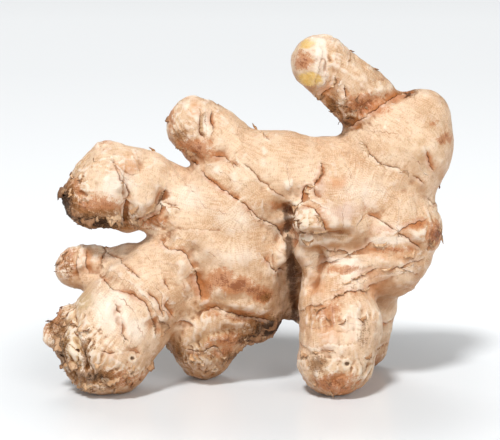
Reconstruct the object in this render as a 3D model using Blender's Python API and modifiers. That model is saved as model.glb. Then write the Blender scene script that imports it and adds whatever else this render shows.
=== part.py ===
"""Ginger root: one hand of a rhizome, standing on its fingertips, modelled as one solid.

The hand is grown the way a rhizome grows. A thick main axis runs across it, and fingers branch from
the axis. Each limb is a row of short swollen internodes, and buds sit on the limbs. The swellings are
fused into one skin, and the fingertips that carry the weight are pressed flat on the ground, Z = 0.

X runs across the hand, Y from front to back and Z up. The origin is under the middle of the hand.
"""

import bmesh
import bpy
from mathutils import Matrix, Vector

MM = 0.001

# The size of the whole hand. Each limb's own joints are below, in millimetres.
REACH = 1.0  # stretches the way from joint to joint
GIRTH = 1.0  # thickens every limb and bud

# How a limb is made of internodes.
INTERNODE = 8.0 * MM  # from the middle of one swelling to the middle of the next
PLUMPNESS = 1.36  # half the length of a swelling, as a share of INTERNODE
FRONT_TO_BACK = 0.86  # a limb's thickness from front to back, as a share of its height
TIP_ROUNDNESS = 0.95  # least half length of a swelling, as a share of its radius

# How the internodes become one skin.
SKIN_GRAIN = 1.4 * MM  # size of the cells in which the swellings are fused
SMOOTHING_PASSES = 9  # rounds off the valleys between limbs
SKIN_TRIANGLES = 6400
FOOT_PRESS = 1.6 * MM  # how much of a fingertip is flattened by the ground

SWELLING_SEGMENTS = 24
SWELLING_RINGS = 16

# The main axis, from the mother end at the left to the shoulder at the top right: x, y, z, radius.
MAIN_AXIS = (
    (-31.0, -5.0, 38.0, 14.5),
    (-15.5, -4.0, 54.0, 18.0),
    (2.0, -1.0, 73.0, 20.0),
    (22.5, 1.0, 70.5, 21.0),
    (43.0, 3.0, 71.0, 21.0),
    (55.5, 3.0, 88.0, 20.0),
)

# Each finger: the place on the main axis that it leaves, its radius there, then its joints as steps
# from one to the next. A step is dx, dy, dz and the radius at its end.
FINGERS = {
    "top_right_finger": (
        4.8,
        14.0,
        ((-10.0, -2.0, 16.5, 11.8), (-9.5, -3.0, 8.5, 10.8), (-9.5, -3.0, 7.5, 10.4)),
    ),
    "top_left_finger": (
        2.1,
        14.0,
        ((-9.0, 2.0, 9.0, 13.3), (-8.0, 0.0, 8.0, 11.8), (-6.0, 0.0, 4.5, 10.9)),
    ),
    "left_finger": (
        1.35,
        15.2,
        ((-19.0, 2.0, 7.3, 13.3), (-12.0, -3.0, 4.0, 15.0), (-9.0, -3.0, 1.5, 14.3)),
    ),
    "rear_left_finger": (
        0.2,
        13.0,
        ((-19.0, 4.5, 1.5, 10.0), (-10.5, 0.0, 1.0, 8.5), (-4.5, 0.0, 0.0, 7.8)),
    ),
    "belly": (1.4, 19.0, ((2.5, 1.0, -17.0, 20.5), (-1.5, 1.0, -11.0, 19.5))),
    "inner_lobe": (2.9, 17.0, ((1.0, 4.0, -22.0, 15.5), (-1.0, 2.0, -17.0, 13.0))),
    "lower_right_lobe": (4.0, 19.0, ((8.0, -1.0, -9.0, 20.5), (-1.5, -2.0, -13.0, 18.5))),
    "front_bud": (3.85, 12.0, ((-4.0, -13.0, -8.0, 9.5), (-8.0, -5.5, 0.5, 9.0), (-7.5, -0.5, -0.5, 8.0))),
    "back_bud": (2.9, 13.0, ((3.0, 14.0, -6.0, 11.0), (3.0, 9.0, -1.0, 8.5))),
}

# Each standing finger: the same, with its tip's place on the ground and radius at the end.
STANDING = {
    "front_left_foot": (0.0, 14.5, ((-9.0, -4.0, -5.5, 17.0),), (-51.0, -14.0, 17.8)),
    "middle_foot": (1.2, 14.0, ((-3.0, 1.5, -32.0, 16.5),), (-16.5, 4.5, 9.5)),
    "front_right_foot": (
        3.2,
        17.0,
        ((3.5, -3.0, -21.0, 18.0), (0.5, -6.0, -14.0, 14.0), (2.5, -6.0, -10.0, 15.0)),
        (31.0, -17.0, 13.5),
    ),
    "back_right_foot": (4.0, 17.0, ((2.0, 5.0, -25.0, 15.0),), (43.0, 17.0, 10.5)),
}

# Each bud: the limb it sits on and the place along it, the way it points, how far its middle lies
# outside the limb's radius, and its own radius.
BUDS = (
    ("front_left_foot", 2.0, (-1.0, -0.1, 0.3), 1.3, 4.8),
    ("front_left_foot", 2.0, (-1.0, 0.4, 0.7), -2.0, 6.5),
    ("left_finger", 3.0, (-0.1, 0.1, 1.0), -4.5, 6.8),
    ("left_finger", 3.0, (-0.8, -0.2, -0.6), -6.5, 10.5),
    ("left_finger", 2.3, (0.0, 0.0, -1.0), -6.5, 8.5),
    ("main_axis", 5.0, (0.6, 0.0, 0.8), -9.0, 12.0),
    ("front_right_foot", 1.0, (-1.0, -0.8, 0.1), -0.3, 6.6),
    ("belly", 2.0, (0.7, 0.0, -0.7), -6.5, 11.0),
)


def smooth_path(joints, place):
    """Point and radius at a place on the path, counted in joints, on a curve through all of them."""
    first = min(int(place), len(joints) - 2)
    t = place - first
    near = [Vector(joints[max(0, min(len(joints) - 1, first + k))]) for k in (-1, 0, 1, 2)]
    before, start, end, after = near
    leave = (end - before) / 2
    arrive = (after - start) / 2
    here = (
        start * (2 * t**3 - 3 * t**2 + 1)
        + leave * (t**3 - 2 * t**2 + t)
        + end * (3 * t**2 - 2 * t**3)
        + arrive * (t**3 - t**2)
    )
    return here


def joint_at(x, y, z, radius):
    """A joint in metres, from millimetres."""
    return Vector((x * REACH, y * REACH, z * REACH, radius * GIRTH)) * MM


def finger_joints(axis, leaves_at, root_radius, steps):
    """A finger's joints, the first of them on the main axis."""
    joints = [smooth_path(axis, leaves_at)]
    joints[0].w = joint_at(0, 0, 0, root_radius).w
    for step in steps:
        joint = joint_at(*step)
        joints.append(Vector((*(joints[-1] + joint).to_3d(), joint.w)))
    return joints


def limb_joints():
    """Every limb's joints in metres: x, y, z and radius."""
    axis = [joint_at(*joint) for joint in MAIN_AXIS]
    limbs = {"main_axis": axis}
    for name, finger in FINGERS.items():
        limbs[name] = finger_joints(axis, *finger)
    for name, (leaves_at, root_radius, steps, (x, y, radius)) in STANDING.items():
        tip = joint_at(x, y, 0, radius)
        tip.z = tip.w - FOOT_PRESS
        limbs[name] = finger_joints(axis, leaves_at, root_radius, steps) + [tip]
    return limbs


def add_swelling(bm, centre, along, radius, half_length):
    """One internode: an egg of the given radius, longer along the limb and thinner front to back."""
    turn = along.to_track_quat("X", "Y").to_matrix().to_4x4()
    size = Matrix.Diagonal((half_length, radius, radius, 1))
    flatten = Matrix.Diagonal((1, FRONT_TO_BACK, 1, 1))
    bmesh.ops.create_uvsphere(
        bm,
        u_segments=SWELLING_SEGMENTS,
        v_segments=SWELLING_RINGS,
        radius=1,
        matrix=Matrix.Translation(centre) @ flatten @ turn @ size,
    )


def add_limb(bm, joints):
    """Internodes at even steps along the limb's curve."""
    length = sum((b - a).to_3d().length for a, b in zip(joints, joints[1:]))
    count = max(2, round(length / INTERNODE))
    for k in range(count + 1):
        place = k / count * (len(joints) - 1)
        here = smooth_path(joints, place)
        ahead = smooth_path(joints, min(place + 0.05, len(joints) - 1))
        behind = smooth_path(joints, max(place - 0.05, 0))
        along = (ahead - behind).to_3d().normalized()
        half_length = max(PLUMPNESS * INTERNODE, TIP_ROUNDNESS * here.w)
        if k == count:
            half_length = TIP_ROUNDNESS * here.w
        add_swelling(bm, here.to_3d(), along, here.w, half_length)


def swellings_mesh():
    bm = bmesh.new()
    limbs = limb_joints()
    for joints in limbs.values():
        add_limb(bm, joints)
    for limb, place, points, stands_out, radius in BUDS:
        base = smooth_path(limbs[limb], place)
        points = Vector(points).normalized()
        size = radius * GIRTH * MM
        reach = points * (base.w + stands_out * GIRTH * MM)
        reach.y *= FRONT_TO_BACK
        add_swelling(bm, base.to_3d() + reach, points, size, size)
    mesh = bpy.data.meshes.new("ginger_root")
    bm.to_mesh(mesh)
    bm.free()
    return mesh


def fused(mesh):
    """The swellings as one skin: fused, smoothed, and thinned to the wanted number of triangles."""
    maker = bpy.data.objects.new("maker", mesh)
    bpy.context.scene.collection.objects.link(maker)
    fuse = maker.modifiers.new("fuse", "REMESH")
    fuse.mode = "VOXEL"
    fuse.voxel_size = SKIN_GRAIN
    soften = maker.modifiers.new("soften", "SMOOTH")
    soften.factor = 0.5
    soften.iterations = SMOOTHING_PASSES
    split = maker.modifiers.new("split", "TRIANGULATE")
    graph = bpy.context.evaluated_depsgraph_get()
    dense = len(maker.evaluated_get(graph).data.polygons)
    thin = maker.modifiers.new("thin", "DECIMATE")
    thin.ratio = min(1, SKIN_TRIANGLES / dense)
    graph = bpy.context.evaluated_depsgraph_get()
    skin = bpy.data.meshes.new_from_object(maker.evaluated_get(graph))
    bpy.data.objects.remove(maker)
    return skin


def press_on_ground(mesh):
    """Cuts off what lies under the ground and closes each cut with one flat face."""
    bm = bmesh.new()
    bm.from_mesh(mesh)
    whole = bm.verts[:] + bm.edges[:] + bm.faces[:]
    cut = bmesh.ops.bisect_plane(bm, geom=whole, plane_co=(0, 0, 0), plane_no=(0, 0, 1), clear_inner=True)
    rim = [e for e in cut["geom_cut"] if isinstance(e, bmesh.types.BMEdge)]
    bmesh.ops.holes_fill(bm, edges=rim, sides=0)
    bmesh.ops.recalc_face_normals(bm, faces=bm.faces)
    bm.to_mesh(mesh)
    bm.free()


def centre_over_origin(mesh):
    """Moves the middle of the hand's outline, seen from above, to X = Y = 0."""
    xs = [v.co.x for v in mesh.vertices]
    ys = [v.co.y for v in mesh.vertices]
    middle = Vector(((min(xs) + max(xs)) / 2, (min(ys) + max(ys)) / 2, 0))
    mesh.transform(Matrix.Translation(-middle))


def skin_material():
    material = bpy.data.materials.new("ginger_skin")
    material.use_nodes = True
    surface = material.node_tree.nodes["Principled BSDF"]
    surface.inputs["Base Color"].default_value = (0.66, 0.44, 0.25, 1)
    surface.inputs["Roughness"].default_value = 0.62
    surface.inputs["Metallic"].default_value = 0.0
    return material


def build():
    for old in list(bpy.data.objects):
        bpy.data.objects.remove(old)
    collection = bpy.data.collections.new("ginger_root")
    bpy.context.scene.collection.children.link(collection)
    mesh = fused(swellings_mesh())
    press_on_ground(mesh)
    centre_over_origin(mesh)
    mesh.shade_smooth()
    mesh.materials.clear()
    mesh.materials.append(skin_material())
    root = bpy.data.objects.new("ginger_root", mesh)
    collection.objects.link(root)


build()
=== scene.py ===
import itertools
import math
import random

import bmesh
import bpy
import numpy as np
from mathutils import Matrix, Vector, kdtree
from mathutils.bvhtree import BVHTree


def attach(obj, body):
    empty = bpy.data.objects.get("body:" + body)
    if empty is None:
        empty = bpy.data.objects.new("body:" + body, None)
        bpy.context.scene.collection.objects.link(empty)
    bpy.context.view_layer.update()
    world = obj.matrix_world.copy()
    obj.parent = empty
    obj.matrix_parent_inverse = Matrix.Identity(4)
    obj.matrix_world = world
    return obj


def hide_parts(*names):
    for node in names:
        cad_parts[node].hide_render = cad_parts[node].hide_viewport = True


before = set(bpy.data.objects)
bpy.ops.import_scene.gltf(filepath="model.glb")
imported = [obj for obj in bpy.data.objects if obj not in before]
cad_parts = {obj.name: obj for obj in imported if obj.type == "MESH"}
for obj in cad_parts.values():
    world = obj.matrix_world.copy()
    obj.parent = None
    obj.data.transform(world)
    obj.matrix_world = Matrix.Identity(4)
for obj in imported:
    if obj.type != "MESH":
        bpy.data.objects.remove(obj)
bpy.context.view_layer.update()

# ---------------------------------------------------------------------------------------------
# The skin. A fresh rhizome is one firm, swollen body under a thin, dry, papery skin. The skin keeps
# the scars of the leaf scales that once sheathed each joint, and it splits, rubs and peels as the
# fingers swell. It stands for the CAD solid, whose shape it follows.

MM = 0.001
FIRST_CELL = 0.8  # mm, the size of the cells in which the body is first remade
SKIN_CELL = 0.5  # mm, the same for the final skin
SKIN_TRIANGLES = 188_000
SOFTENING = 13  # passes that round off the solid's flat faces
CREASE_STEP = 0.8  # mm between the points of a crease
CREASE_SOFTENING = 8  # passes after the creases are pressed in
GROUND_CUT = 0.35  # mm of the lowest relief that the ground presses flat
LEAST_RISE = 0.001  # mm, so that nothing lies in the ground itself

# Centre lines of the limbs, each from where it grows to its tip: x, y, z in mm.
LIMBS = {
    "mother": ((55, 3, 88), (43, 3, 71), (22, 1, 70), (2, -1, 73), (-15, -4, 54), (-31, -5, 38)),
    "front_left": ((-31, -5, 38), (-40, -9, 32), (-52, -14, 16)),
    "middle": ((-14, -3, 55), (-17, -2, 25), (-17, 4, 6)),
    "belly": ((-9, -3, 60), (-7, -2, 43), (-8, -1, 30)),
    "top_right": ((57, 3, 88), (44, 1, 101), (34, -3, 111), (24, -6, 117)),
    "top_left": ((2, -1, 73), (-6, 1, 82), (-15, 1, 90), (-21, 1, 96)),
    "left": ((-10, -3, 63), (-29, -1, 68), (-41, -4, 72), (-52, -7, 74)),
    "rear_left": ((-28, -5, 42), (-46, 0, 44), (-58, 0, 45), (-64, 0, 45)),
    "inner_lobe": ((20, 1, 70), (21, 5, 48), (20, 7, 32)),
    "right_lobe": ((43, 3, 73), (50, 2, 62), (49, 0, 48)),
    "front_right": ((27, 1, 69), (30, -3, 49), (31, -9, 34), (31, -17, 12)),
    "back_right": ((43, 3, 71), (44, 8, 46), (42, 16, 9)),
    "front_bud": ((39, 2, 70), (34, -11, 62), (25, -16, 63), (17, -17, 62)),
    "back_bud": ((20, 1, 71), (24, 15, 65), (27, 24, 64)),
}

# Swellings and creases of the front that the solid is too coarse to hold: x, z, half width, half
# height and height in mm, and lines of x, z with a depth and a half width.
SWELLINGS = (
    (-36, 86, 7, 4, 1.0), (-48, 82, 8, 6, 1.5), (-35, 78, 5, 5, 1.2), (-37, 68, 4, 4, 1.2),
    (-54, 71, 6, 5, 0.8), (-48, 36, 9, 6, 1.2), (-58, 26, 5, 7, 0.8), (-46, 19, 5, 7, 0.8),
    (-4, 51, 11, 11, 1.5), (-5, 39, 10, 3, 1.0), (-9, 32, 11, 2, 1.2), (4, 30, 5, 4, 1.2),
    (-17, 11, 6, 7, 1.0), (48, 88, 11, 7, 0.8), (24, 67, 8, 5, 2.2), (18, 50, 5, 5, 1.0),
    (-20, 100, 5, 5, 0.8), (-8, 95, 5, 5, 0.5), (22, 120, 5, 6, 0.8), (39, 114, 5, 4, 0.6),
    (14, 88, 9, 6, 0.8), (-7, 80, 9, 5, 0.8), (-9, 66, 9, 6, 0.8), (64, 88, 6, 9, 0.8),
    (-62, 46, 5, 5, 0.8), (61, 58, 6, 4, 1.0), (27, 24, 7, 7, 1.6), (36, 41, 6, 6, 1.5), (50, 60, 9, 6, 1.2),
)
CREASES = (
    (((12.5, 70), (13, 62), (14, 52), (15, 41.5), (16, 30.5), (16.5, 21), (16, 13.5)), 8.5, 2.8),
    (((13, 57), (17.5, 58), (24, 57.5), (30, 58), (36, 59)), 4.5, 2.2),
    (((24, 53.5), (25, 48.5), (23.5, 42), (19.5, 37)), 3, 2),
    (((13, 70), (17.5, 72), (24, 73), (31.5, 72)), 1.2, 2.5),
    (((-45, 76.5), (-43.5, 69), (-44, 62.5), (-43, 59)), 2.8, 2.2),
    (((-30, 73.5), (-32, 68.5), (-35.5, 63.5), (-39, 59)), 2.6, 2.3),
    (((-36, 85.5), (-39, 82.5), (-41, 79.5)), 0.8, 2),
    (((-36, 54), (-31.5, 57), (-26.5, 59)), 3, 3),
    (((-22.5, 55.5), (-20, 49), (-19, 42), (-19, 34.5), (-21.5, 26.5), (-25, 19.5)), 1.8, 3.5),
    (((-20, 28.5), (-12.5, 31.5), (-3.5, 28.5), (4.5, 23.5)), 1.5, 2),
    (((-22, 87), (-18, 83.5), (-12.5, 85), (-6.5, 87)), 1.2, 2),
    (((-65, 39.5), (-60, 42.5), (-54, 43), (-48, 42.5), (-42.5, 39), (-39, 34.5)), 1.5, 2),
    (((-48, 36.5), (-46.5, 31.5), (-44, 23)), 1.2, 1.8),
    (((-62, 31.5), (-60, 22), (-57.5, 15), (-54, 8)), 2.2, 1.7),
    (((-44, 36), (-40.5, 26), (-42, 15.5)), 0.6, 2),
    (((33, 98.5), (39, 102.5), (46, 105.5), (53.5, 106)), 1.8, 2.2),
    (((28, 124.5), (26, 116), (24, 109.5)), 0.8, 1.5),
    (((-14.5, 103), (-16, 94.5), (-18, 91)), 0.8, 2),
    (((-22, 15), (-16.5, 20), (-9, 22), (-2.5, 21)), 1.0, 2),
    (((-3.5, 84.5), (4, 76), (9, 69), (12, 61.5)), 0.5, 3),
)

# Seams: where an old leaf scale sat, or where the skin has split. Each is a line of x, z in mm, seen
# from the front and drawn on it, with how deep it is (1 is deep) and how far its brown stain reaches,
# in mm.
SEAMS = (
    (((-21.5, 82.5), (-18, 81), (-16, 78.5), (-13.5, 77), (-10, 74.5), (-3.5, 70.5)), 1.0, 1.2),
    (((-3.5, 70.5), (4, 63.5), (9.5, 60), (12, 56)), 0.7, 1.5),
    (((-3.5, 84), (0, 81.5), (4.5, 77), (8, 74), (12.5, 71)), 0.45, 0.6),
    (((-14, 84.5), (-11, 85), (-8, 84.5), (-4, 82)), 0.8, 1.6),
    (((-13.5, 101), (-14, 98), (-13, 95), (-14, 92)), 0.9, 1.2),
    (((-18, 102), (-18, 96.5), (-17.5, 92.5), (-16, 90.5)), 0.6, 1.2),
    (((-48.5, 85.5), (-46.5, 81), (-45, 77.5), (-43.5, 76), (-43, 72.5), (-44, 70)), 0.5, 0.8),
    (((-44, 71), (-44.5, 68), (-45, 64), (-45, 61)), 1.2, 2.0),
    (((-51, 85.5), (-45.5, 82), (-42, 79.5), (-38, 80)), 0.35, 1.5),
    (((-41.5, 85.5), (-39.5, 82), (-38.5, 80)), 0.5, 0.8),
    (((-30, 74), (-31, 71.5), (-32, 69), (-31.5, 67.5), (-32.5, 65), (-35, 63.5), (-37.5, 62),
      (-40, 60)), 1.0, 1.6),
    (((-31.5, 69), (-27.5, 68), (-24.5, 68)), 0.5, 0.7),
    (((-29, 60), (-23, 60), (-16, 60.5), (-9, 59.5)), 0.3, 1.8),
    (((-32, 55), (-29, 53), (-25, 52.5), (-22.5, 51), (-21, 48.5), (-20, 45)), 0.9, 1.4),
    (((-20, 45), (-19, 41.5), (-18, 38), (-18, 34)), 1.1, 2.6),
    (((-54.5, 50), (-50, 48.5), (-46, 47.5), (-42, 45.5), (-38, 42.5)), 0.6, 1.0),
    (((-55, 41.5), (-52, 41.5), (-49, 40), (-46, 39), (-42.5, 38), (-38.5, 36), (-36, 33),
      (-34.5, 29.5)), 0.7, 1.0),
    (((-34.5, 29.5), (-33.5, 25), (-33.5, 22)), 1.2, 2.6),
    (((-31, 43.5), (-30, 40.5), (-28.5, 38)), 0.5, 0.8),
    (((-29, 35), (-30, 33.5), (-28.5, 30.5), (-27, 28)), 1.1, 1.6),
    (((-37, 38.5), (-33.5, 36), (-32, 33), (-30.5, 29)), 0.7, 1.0),
    (((-48, 34.5), (-46.5, 32.5), (-45, 29.5), (-45, 25.5), (-43.5, 22.5), (-42, 20.5)), 0.5, 1.8),
    (((-53, 19.5), (-47.5, 18.5), (-42, 18.5), (-38.5, 16)), 0.5, 1.4),
    (((4.5, 50.5), (7, 47.5), (9, 44.5), (12.5, 42.5)), 0.8, 2.0),
    (((-17, 29.5), (-12.5, 31.5), (-9, 30), (-3.5, 28), (2, 27), (7.5, 24.5)), 0.6, 2.2),
    (((25, 83.5), (25.5, 80.5), (24, 77.5), (22.5, 75.5)), 1.1, 1.2),
    (((22.5, 75.5), (19.5, 75.5), (18.5, 72.5), (17.5, 70), (14, 67.5)), 0.9, 1.5),
    (((22.5, 75.5), (23, 72.5), (25.5, 71)), 0.5, 0.8),
    (((17.5, 69.5), (21.5, 69), (23.5, 67), (25, 64), (27.5, 59)), 0.9, 1.6),
    (((37.5, 92), (40, 89.5), (43, 86), (45, 83.5), (49.5, 82), (53.5, 81), (57.5, 79),
      (62.5, 75)), 0.55, 0.8),
    (((62, 88), (63.5, 85), (64, 82.5), (65.5, 79.5)), 0.8, 1.2),
    (((63.5, 69.5), (66, 67.5), (69.5, 66)), 0.6, 1.2),
    (((30, 113.5), (29, 110), (26, 107.5), (24.5, 105.5)), 1.0, 1.8),
    (((33.5, 111), (33.5, 105.5)), 0.8, 1.2),
    (((34, 123), (35.5, 121), (34, 117.5)), 0.5, 1.2),
    (((35, 95), (38.5, 97.5), (43, 100.5), (48, 104), (53.5, 106.5), (59, 107)), 0.9, 2.4),
    (((3, 94), (4.5, 93), (7, 91)), 0.9, 1.0),
    (((40.5, 65.5), (38.5, 62.5), (37.5, 60)), 0.6, 1.0),
    (((41, 65.5), (48, 62), (55, 57), (61, 52)), 0.6, 1.4),
    (((24.5, 126), (25, 121), (24, 115), (22, 109.5)), 0.35, 0.8),
    (((-59, 50.5), (-59.5, 46.5), (-58.5, 41.5)), 0.5, 1.8),
    (((-24, 15.5), (-18.5, 14), (-13, 16.5), (-9.5, 12.5)), 0.6, 1.8),
)

# The same as planes across a limb, for the sides that the lines above don't reach: the middle of the
# limb, the way it grows, the limb's radius, depth and stain as above, and whether it goes all round
# or shows at the back only. x, y, z in mm.
RINGS = (
    ((31, -11, 33), (0.35, -0.35, -1), 18, 0.8, 1.6, "all"),
    ((31, -16, 15), (-0.25, -0.2, -1), 15, 0.6, 1.6, "all"),
    ((30, -5, 49), (-0.3, -0.3, -1), 21, 0.6, 1.4, "all"),
    ((43, 13, 24), (-0.3, 0.3, -1), 14, 0.7, 1.6, "all"),
    ((44, 9, 38), (0.3, 0.3, -1), 17, 0.6, 1.2, "all"),
    ((42, 16, 10), (0, 0.1, -1), 13, 0.5, 1.2, "all"),
    ((50, 1, 56), (0.45, -0.1, -1), 23, 0.6, 1.4, "all"),
    ((49, 0, 45), (0.2, 0, -1), 21, 0.6, 1.4, "all"),
    ((-17, 9, 16), (-0.1, 0.1, -1), 13, 0.7, 1.6, "all"),
    ((-15, 6, 30), (-0.1, 0.3, -1), 16, 0.6, 1.2, "all"),
    ((22, 8, 71), (1, 0.2, 0.1), 26, 0.6, 1.2, "back"),
    ((2, 8, 72), (0.8, 0.1, 0.5), 26, 0.6, 1.2, "back"),
    ((-15, 5, 55), (0.8, 0, 0.7), 25, 0.7, 1.4, "back"),
    ((53, 8, 84), (0.3, 0.1, 1), 26, 0.6, 1.2, "back"),
    ((25, 17, 65), (0.2, 1, -0.2), 14, 0.8, 1.8, "all"),
    ((-35, 2, 69), (-1, 0, 0.2), 18, 0.6, 1.2, "back"),
    ((-49, 0, 73), (-1, -0.2, 0.2), 18, 0.6, 1.2, "back"),
    ((-52, 2, 44), (-1, 0.1, 0), 12, 0.7, 1.4, "all"),
    ((-61, 2, 45), (-1, 0, 0), 11, 0.6, 1.4, "all"),
    ((-41, -3, 31), (-0.7, -0.4, -0.7), 21, 0.6, 1.2, "back"),
    ((-49, -8, 20), (-0.6, -0.4, -0.9), 22, 0.6, 1.4, "back"),
    ((46, 4, 98), (-0.8, -0.2, 0.8), 18, 0.7, 1.8, "back"),
    ((35, 0, 110), (-0.8, -0.2, 0.7), 15, 0.6, 1.2, "back"),
    ((-9, 4, 84), (-0.7, 0, 0.7), 19, 0.6, 1.2, "back"),
    ((-18, 4, 93), (-0.7, 0, 0.6), 16, 0.6, 1.2, "back"),
    ((-8, 5, 40), (0, 0.1, -1), 25, 0.6, 1.2, "back"),
)

# Blotches on the skin, by their kind and side: x, z, half width, half height in mm, and strength.
BLOTCHES = {
    ("rust", "front"): (
        (-13.5, 39.2, 2.5, 3.5, 0.8), (-9.5, 42.4, 4.5, 3.4, 1.2), (-4, 40.6, 4.5, 2.6, 1.3),
        (0.7, 38.3, 3.5, 1.8, 1.3), (4.8, 35.2, 3.4, 2.2, 1.4), (-3.5, 28.5, 9, 2, 0.8),
        (-5.5, 18.5, 9, 2.5, 0.9), (-10.5, 13.5, 5, 2, 0.9), (-56, 68.5, 10, 5, 0.65), (-37, 61, 8, 3, 0.6),
        (-47, 8.5, 5, 4, 0.8), (-45, 8, 8, 4, 0.6), (65.5, 97, 2, 1.5, 0.7), (60, 61.5, 3, 2, 0.9),
        (13, 62, 3.5, 6, 0.5), (27, 30, 6, 4, 0.5), (31, 45.5, 7, 1.3, 0.9), (51, 52.5, 7, 1.3, 0.8),
        (28, 33, 5, 3, 0.7),
    ),
    ("rust", "all"): (
        (-61.5, 74, 5, 3.5, 0.7), (-52, 89, 5, 3, 0.35), (-72, 27.5, 5, 6, 1.2), (-67, 46, 4, 6.5, 0.6),
        (-19, 88, 7, 4, 1.0), (-28.5, 98.5, 2, 6, 0.7), (17.8, 119.2, 4, 3.2, 0.8),
        (39.5, 103.5, 9, 4, 1.0), (28.5, 104.5, 5, 2.5, 0.6), (70, 91, 4, 1.8, 0.9),
        (66, 56.5, 3.5, 4.5, 1.2), (31, 6, 9, 5, 0.7), (42, 5, 7, 5, 0.7),
    ),
    ("rust", "back"): (
        (30, 85, 12, 5, 0.5), (-10, 60, 8, 6, 0.5), (55, 60, 7, 5, 0.6), (27, 65, 6, 6, 0.6),
    ),
    # Bark: dark crusty skin, and painted shade on a shaded flank and in the crevice beside the belly.
    ("bark_and_painted_shade", "front"): (
        (5.8, 34.6, 2.2, 1.6, 0.7), (-2, 27.5, 5, 1.4, 0.8), (4, 25.5, 4, 2, 1.0), (-50, 65, 6, 3, 0.35),
        (-57.5, 17, 1.8, 8, 0.75), (-50, 6, 3, 2, 0.8), (17, 43, 4, 9, 0.5), (24, 14, 3, 5, 0.6),
        (40, 24, 3, 6, 0.4),
    ),
    ("bark_and_painted_shade", "all"): (
        (7, 21.5, 8, 4, 1.3), (1, 18, 6, 3, 1.1), (-7, 10, 4, 3, 0.8), (-25.5, 12, 3.5, 6, 0.5),
        (-54, 62, 11, 4, 1.2), (-66, 68, 5, 8, 1.2), (-67, 19, 3.5, 9, 0.9), (-55.5, 9, 9, 3, 0.9),
        (-71, 25, 1.6, 2.2, 0.9), (-66.5, 44, 3, 5, 0.4), (-24.5, 92.5, 3.5, 2.5, 0.5),
        (35.5, 96.5, 4, 3, 0.9), (29.5, 102.5, 3, 4.5, 0.8), (57, 107, 4, 2, 0.7), (71, 73, 1.5, 3, 1.0),
    ),
    # Cream: pale skin, and painted highlight on lit swellings.
    ("cream_and_painted_highlight", "front"): (
        (-14, 9, 3.5, 2, 0.7), (-46.5, 76, 7, 4.5, 0.9), (-48.5, 32.5, 9, 9, 0.8), (-40.5, 26, 4, 5.5, 0.8),
        (-15.5, 96.5, 2, 4, 0.9), (24.8, 118.5, 1.7, 8, 2.2), (-3.5, 64, 10, 6, 0.6), (39, 74, 12, 8, 0.6),
        (-21.5, 70.5, 11, 6, 0.6), (-5.5, 51.5, 10, 5, 0.5), (37, 44, 6, 5, 0.7), (36, 28, 5, 7, 0.7),
        (30, 20, 5, 6, 0.5), (33, 48.5, 7, 1.2, 1.3), (50, 56, 8, 1.4, 1.3),
    ),
    ("cream_and_painted_highlight", "back"): (
        (5, 78, 9, 6, 0.6),
    ),
    ("orange", "front"): (
        (-8, 38, 3, 1.5, 0.8), (-15.5, 38, 2, 6, 0.9), (-42.5, 83, 5, 3.5, 0.6), (-58.5, 46.5, 2, 4.5, 0.7),
        (-19.5, 101, 2.5, 3, 0.7), (30.5, 77, 3.5, 3, 1.0), (24, 40, 4, 6, 0.7), (26, 24, 4, 5, 0.5),
        (45, 50, 7, 3, 0.5), (46, 38, 5, 8, 0.7), (55, 50, 6, 5, 0.6), (31, 27, 13, 10, 0.45),
        (33, 52, 9, 3, 0.6),
    ),
    ("orange", "back"): (
        (-30, 62, 8, 5, 0.5),
    ),
    ("olive", "front"): (
        (-17, 14, 11, 10, 0.6), (-63, 17, 6, 10, 1.0), (-59, 34.5, 4, 3.5, 0.9), (54.5, 88, 10, 6, 0.35),
    ),
    ("lilac", "front"): (
        (24.5, 75.5, 2.5, 4, 0.9), (31.5, 67, 10, 3.5, 0.8), (48, 60.5, 8, 3, 0.7),
    ),
    ("flesh", "front"): (
        (21.2, 112.8, 4.2, 2.7, 1.1), (19.5, 124.6, 3.6, 2.2, 0.8), (20, 64, 4, 3, 0.45),
    ),
    ("crinkle", "front"): (
        (-62, 15, 10, 14, 1.5), (-48, 8, 12, 6, 1.0), (18, 62, 6, 6, 0.8), (-19, 28, 6, 7, 0.5),
        (31, 30, 13, 4, 0.6),
    ),
    ("crinkle", "all"): (
        (-66, 30, 6, 6, 1.0), (-63, 72, 8, 12, 0.9), (-53, 62, 12, 4, 1.1), (-36, 62, 8, 4, 0.8),
        (-25, 94, 7, 9, 0.45), (-66, 46, 6, 8, 0.7), (-17, 10, 10, 10, 1.0), (2, 20, 13, 6, 1.0),
        (37, 102, 12, 6, 0.9), (67, 58, 5, 7, 0.8), (31, 8, 14, 9, 0.8), (43, 8, 11, 9, 0.8),
        (-48, 84, 9, 5, 0.4), (28, 120, 6, 9, 0.35),
    ),
    ("crinkle", "back"): (
        (-56, 12, 16, 13, 1.0),
    ),
}


def gradient_noise(points, size, seed):
    """Smooth noise from about -1 to 1 with lumps of the given size, at each point."""
    place = points / size + 31.7 * seed
    cell = np.floor(place).astype(np.int64)
    inside = place - cell
    fade = inside**3 * (inside * (inside * 6 - 15) + 10)
    total = np.zeros(len(points))
    for corner in itertools.product((0, 1), repeat=3):
        at = cell + corner
        mixed = (at[:, 0] * 73856093) ^ (at[:, 1] * 19349663) ^ (at[:, 2] * 83492791)
        mixed ^= seed * 2654435761
        mixed = (mixed ^ (mixed >> 13)) * 1274126177 & 0xFFFFFFFF
        mixed ^= mixed >> 16
        slope = np.stack([mixed & 255, mixed >> 8 & 255, mixed >> 16 & 255], 1) / 127.5 - 1
        weight = np.where(corner, fade, 1 - fade).prod(1)
        total += weight * (slope * (inside - corner)).sum(1)
    return total * 1.35


def layered_noise(points, size, seed, layers=3):
    """Gradient noise at the given size, with finer layers half as strong on top."""
    return sum(gradient_noise(points, size / 2**k, seed + k) / 2**k for k in range(layers)) / 1.5


def ramp(low, high, value):
    """0 below low, 1 above high, smooth between. With low above high it falls instead."""
    t = np.clip((value - low) / (high - low), 0, 1)
    return t * t * (3 - 2 * t)


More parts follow.
